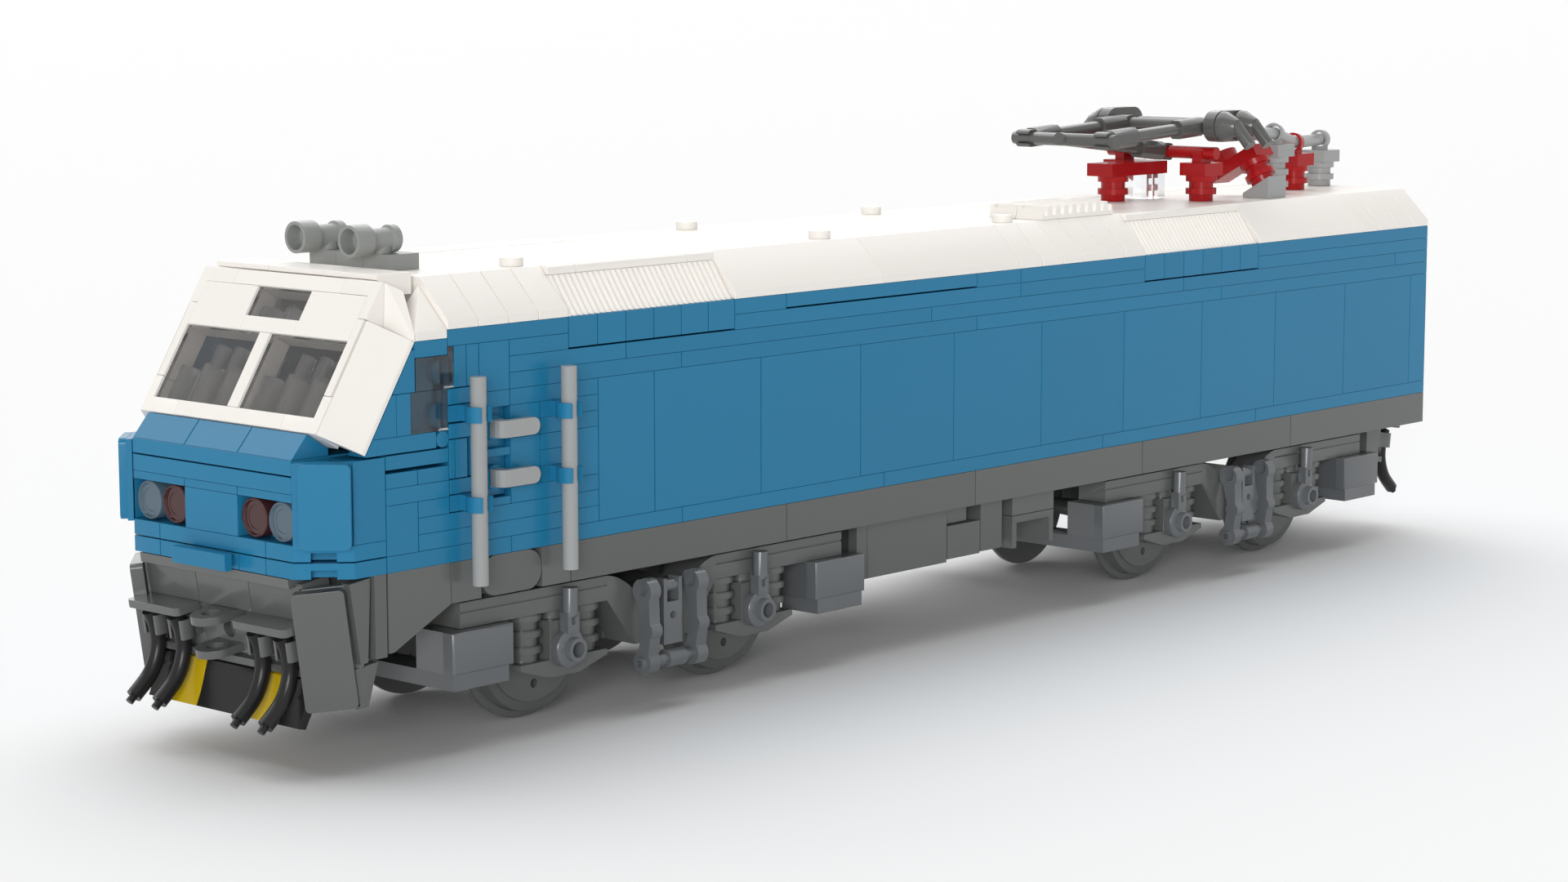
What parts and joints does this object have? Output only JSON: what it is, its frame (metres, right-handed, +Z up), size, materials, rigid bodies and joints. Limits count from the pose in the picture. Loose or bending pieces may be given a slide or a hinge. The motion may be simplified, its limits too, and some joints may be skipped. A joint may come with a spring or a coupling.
{
  "type": "brick-built electric locomotive",
  "caption": "Toy electric locomotive in moulded bricks, blue with a white roof, one raked cab, folding pantograph and two swivelling bogies.",
  "frame": {"origin": "on the floor under the middle of the body, level with the wheel flanges", "axes": "+X forward to the cab end, +Y to the vehicle's left, +Z up"},
  "size_m": [0.3958, 0.0766, 0.1148],
  "materials": {
    "blue": "gloss",
    "white": "gloss",
    "dark_grey": "gloss",
    "mid_grey": "gloss",
    "light_grey": "gloss",
    "red": "gloss",
    "black": "gloss",
    "yellow": "gloss",
    "smoke_clear": "clear",
    "clear": "clear",
    "clear_red": "clear"
  },
  "bodies": {
    "body": {"aprons": "dark_grey", "beam_insulator": "red", "brake_hoses": "black", "bus_bar": "light_grey", "cab_corner_slopes": "white", "cab_doors": "blue", "cab_roof": "white", "cab_side_blocks": "blue", "cab_side_glass": "smoke_clear", "clear_block": "clear", "corner_skirts": "dark_grey", "coupler_lugs": "dark_grey", "door_levers": "light_grey", "floor_plate": "dark_grey", "grey_posts": "light_grey", "handrail_clips": "blue", "handrails": "light_grey", "headlamps_clear": "clear", "horns": "mid_grey", "hose_clips": "dark_grey", "leaning_insulator": "red", "lower_wall_plates": "blue", "marker_lamps_red": "clear_red", "nose_bar": "blue", "nose_corner_panels": "blue", "nose_lamp_course": "blue", "nose_lower": "blue", "nose_slopes": "blue", "nose_upper": "blue", "panto_base": "red", "plough": "black", "plough_stripes": "yellow", "rear_wall": "blue", "red_post": "red", "ribbed_slopes": "white", "roof_deck": "white", "roof_grille": "white", "roof_slopes": "white", "roof_studs": "white", "side_skirts": "dark_grey", "sill_tiles": "dark_grey", "step_plates": "dark_grey", "underframe_boxes": "dark_grey", "upper_wall_plates": "blue", "wall_panels": "blue", "wedge_block": "light_grey", "windscreen_cheeks": "white", "windscreen_frame": "white", "windscreen_glass": "smoke_clear"},
    "front_bogie": {"front_bogie_frame": "dark_grey", "front_bogie_fittings": "dark_grey"},
    "front_lead_wheels": {"front_bogie_lead_wheelset": "dark_grey"},
    "front_trail_wheels": {"front_bogie_trail_wheelset": "dark_grey"},
    "rear_bogie": {"rear_bogie_frame": "dark_grey", "rear_bogie_fittings": "dark_grey"},
    "rear_lead_wheels": {"rear_bogie_lead_wheelset": "dark_grey"},
    "rear_trail_wheels": {"rear_bogie_trail_wheelset": "dark_grey"},
    "lower_arm": {"panto_lower_arm": "dark_grey"},
    "upper_arm": {"panto_upper_arm": "dark_grey"},
    "pan_head": {"panto_head": "dark_grey"}
  },
  "joints": [
    {"name": "front_bogie_swivel", "type": "hinge", "parent": "body", "child": "front_bogie", "pos_m": [0.1, 0, 0.0344], "axis": [0, 0, 1], "range_deg": [-8, 8]},
    {"name": "front_lead_axle", "type": "hinge", "parent": "front_bogie", "child": "front_lead_wheels", "pos_m": [0.128, 0, 0.016], "axis": [0, 1, 0], "continuous": true},
    {"name": "front_trail_axle", "type": "hinge", "parent": "front_bogie", "child": "front_trail_wheels", "pos_m": [0.072, 0, 0.016], "axis": [0, 1, 0], "continuous": true},
    {"name": "rear_bogie_swivel", "type": "hinge", "parent": "body", "child": "rear_bogie", "pos_m": [-0.108, 0, 0.0344], "axis": [0, 0, 1], "range_deg": [-8, 8]},
    {"name": "rear_lead_axle", "type": "hinge", "parent": "rear_bogie", "child": "rear_lead_wheels", "pos_m": [-0.08, 0, 0.016], "axis": [0, 1, 0], "continuous": true},
    {"name": "rear_trail_axle", "type": "hinge", "parent": "rear_bogie", "child": "rear_trail_wheels", "pos_m": [-0.136, 0, 0.016], "axis": [0, 1, 0], "continuous": true},
    {"name": "lower_arm_pivot", "type": "hinge", "parent": "body", "child": "lower_arm", "pos_m": [-0.1152, 0, 0.1041], "axis": [0, -1, 0], "range_deg": [0, 55]},
    {"name": "knee_pivot", "type": "hinge", "parent": "lower_arm", "child": "upper_arm", "pos_m": [-0.074, 0, 0.1086], "axis": [0, 1, 0], "range_deg": [0, 85]},
    {"name": "head_pivot", "type": "hinge", "parent": "upper_arm", "child": "pan_head", "pos_m": [-0.1152, 0, 0.1109], "axis": [0, -1, 0], "range_deg": [0, 30]}
  ]
}
